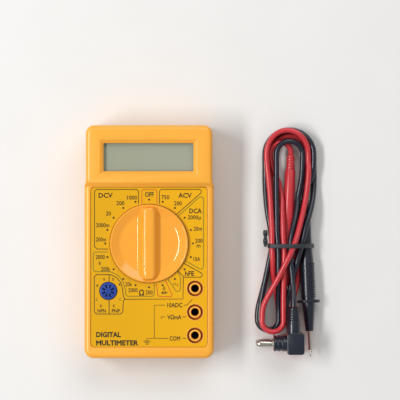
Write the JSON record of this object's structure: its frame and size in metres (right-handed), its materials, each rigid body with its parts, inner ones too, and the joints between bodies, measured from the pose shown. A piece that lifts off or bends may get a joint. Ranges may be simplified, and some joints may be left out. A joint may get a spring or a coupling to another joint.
{
  "type": "digital multimeter",
  "caption": "Pocket digital multimeter with a recessed display, a round range knob with a finger bar, plug jacks, a transistor socket and folded test leads beside it.",
  "frame": {"origin": "middle of the meter's flat back, on the surface it lies on", "axes": "+X to the right of the face, towards the test leads; +Y towards the display end; +Z out of the face"},
  "size_m": [0.1283, 0.1264, 0.028],
  "materials": {
    "case_abs": "moulded ABS, warm yellow-orange, satin",
    "panel_print": "printed self-adhesive panel, gold-yellow with olive, dark grey and orange fields",
    "knob_abs": "moulded ABS, orange, glossy",
    "clear_window": "clear acrylic, polished",
    "lcd": "reflective liquid crystal glass, grey-green",
    "white_plastic": "moulded white plastic",
    "conductive_rubber": "silicone rubber, dark grey",
    "board": "glass-fibre laminate with green solder mask",
    "steel": "nickel-plated steel",
    "brass": "nickel-free brass, bright",
    "socket_plastic": "moulded plastic, blue",
    "battery_jacket": "lacquered steel jacket, plain dark blue",
    "black_plastic": "moulded plastic, black",
    "wire_red": "PVC wire insulation, red",
    "wire_black": "PVC wire insulation, black",
    "fuse_tube": "clear glass tube",
    "epoxy": "black epoxy",
    "film_cap": "dipped film capacitor, amber",
    "resistor": "lacquered resistor body, pale blue",
    "lead_red": "soft PVC, red, glossy",
    "lead_black": "soft PVC, blue-black, glossy",
    "tie": "coated wire tie, dark grey"
  },
  "bodies": {
    "meter": {"front_case": "case_abs", "rear_cover": "case_abs", "cover_screw_left": "steel", "cover_screw_right": "steel", "label_panel": "panel_print", "display_window": "clear_window", "lcd_panel": "lcd", "lcd_holder": "white_plastic", "zebra_strip": "conductive_rubber", "jack_sleeve_ten_amp": "brass", "jack_sleeve_volt_ohm": "brass", "jack_sleeve_common": "brass", "transistor_socket": "socket_plastic", "circuit_board": "board", "board_screw_1": "steel", "board_screw_2": "steel", "board_screw_3": "steel", "chip_blob": "epoxy", "buzzer_disc": "brass", "shunt_wire": "brass", "trimmer_body": "socket_plastic", "film_capacitor_1": "film_cap", "film_capacitor_2": "film_cap", "electrolytic_capacitor": "epoxy", "resistor_1": "resistor", "resistor_2": "resistor", "resistor_3": "resistor", "fuse_glass": "fuse_tube", "fuse_cap_left": "steel", "fuse_cap_right": "steel", "fuse_clip_left": "brass", "fuse_clip_right": "brass", "battery_can": "battery_jacket", "battery_end_plate": "black_plastic", "battery_terminal_plus": "steel", "battery_terminal_minus": "steel", "snap_cap": "black_plastic", "snap_wire_red": "wire_red", "snap_wire_black": "wire_black"},
    "knob": {"range_knob": "knob_abs", "contact_wiper_1": "brass", "contact_wiper_2": "brass", "contact_wiper_3": "brass", "detent_spring_left": "steel", "detent_spring_right": "steel"},
    "ball_left": {"detent_ball_left": "steel"},
    "ball_right": {"detent_ball_right": "steel"},
    "trimmer": {"trimmer_rotor": "white_plastic"},
    "leads": {"probe_handle_red": "lead_red", "probe_tip_red": "steel", "probe_handle_black": "lead_black", "probe_tip_black": "steel", "plug_body_red": "lead_red", "plug_pin_red": "steel", "plug_body_black": "lead_black", "plug_pin_black": "steel", "lead_cord_red": "lead_red", "lead_cord_black": "lead_black", "lead_hank": "lead_black", "lead_tie": "tie"}
  },
  "joints": [
    {"name": "range_turn", "type": "hinge", "parent": "meter", "child": "knob", "pos_m": [0, -0.0009, 0.0214], "axis": [0, 0, 1], "continuous": true},
    {"name": "click_ball_left", "type": "slide", "parent": "knob", "child": "ball_left", "axis": [-1, 0, 0], "range_m": [-0.0006, 0], "stiffness_N_per_m": 300, "deforming": ["detent_spring_left"]},
    {"name": "click_ball_right", "type": "slide", "parent": "knob", "child": "ball_right", "axis": [1, 0, 0], "range_m": [-0.0006, 0], "stiffness_N_per_m": 300, "deforming": ["detent_spring_right"]},
    {"name": "trimmer_turn", "type": "hinge", "parent": "meter", "child": "trimmer", "pos_m": [-0.019, 0.021, 0.0115], "axis": [0, 0, -1], "range_deg": [-130, 130]},
    {"name": "leads_away", "type": "slide", "parent": "meter", "child": "leads", "axis": [1, 0, 0], "range_m": [0, 0.04]}
  ]
}
